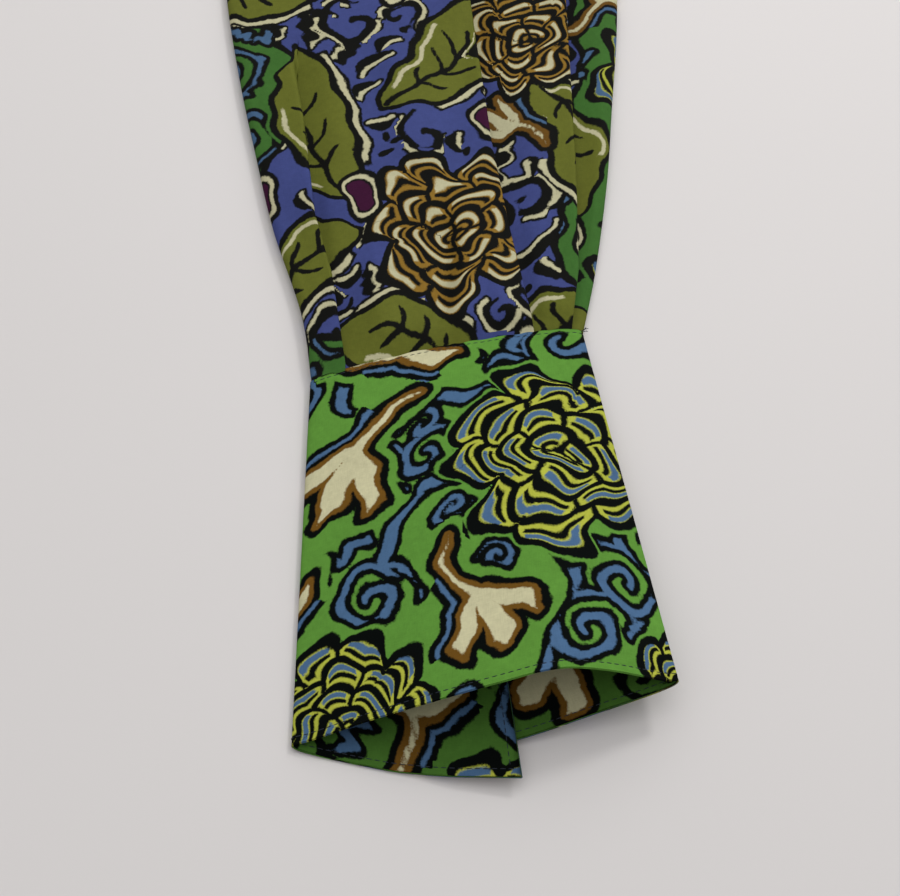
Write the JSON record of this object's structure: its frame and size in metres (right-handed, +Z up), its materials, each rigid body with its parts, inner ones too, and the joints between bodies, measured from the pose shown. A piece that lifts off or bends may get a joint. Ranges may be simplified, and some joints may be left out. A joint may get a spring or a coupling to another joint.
{
  "type": "shirt dress",
  "caption": "Long-sleeved A-line shirt dress laid flat on its back, with a turned-down collar, a buttoned front placket, pleated sleeves and wide flared cuffs.",
  "frame": {"origin": "middle of the dress's bounding box, on the surface it lies on", "axes": "+X to the wearer's left, +Y to the collar, +Z up from the surface the dress lies on"},
  "size_m": [1.6226, 1.1716, 0.0342],
  "materials": {
    "body_cloth": "smooth printed cotton",
    "sleeve_cloth": "smooth printed cotton",
    "cuff_cloth": "smooth printed cotton",
    "button": "gloss"
  },
  "bodies": {
    "root": {"back": "body_cloth", "front_left": "body_cloth", "front_right": "body_cloth", "placket": "body_cloth", "collar_stand": "body_cloth", "collar": "body_cloth", "sleeve_left": "sleeve_cloth", "cuff_left": "cuff_cloth", "sleeve_right": "sleeve_cloth", "cuff_right": "cuff_cloth", "button_1": "button", "button_2": "button", "button_3": "button", "button_4": "button", "button_5": "button", "button_6": "button", "button_7": "button", "button_8": "button", "button_9": "button", "button_stand": "button"}
  },
  "joints": []
}
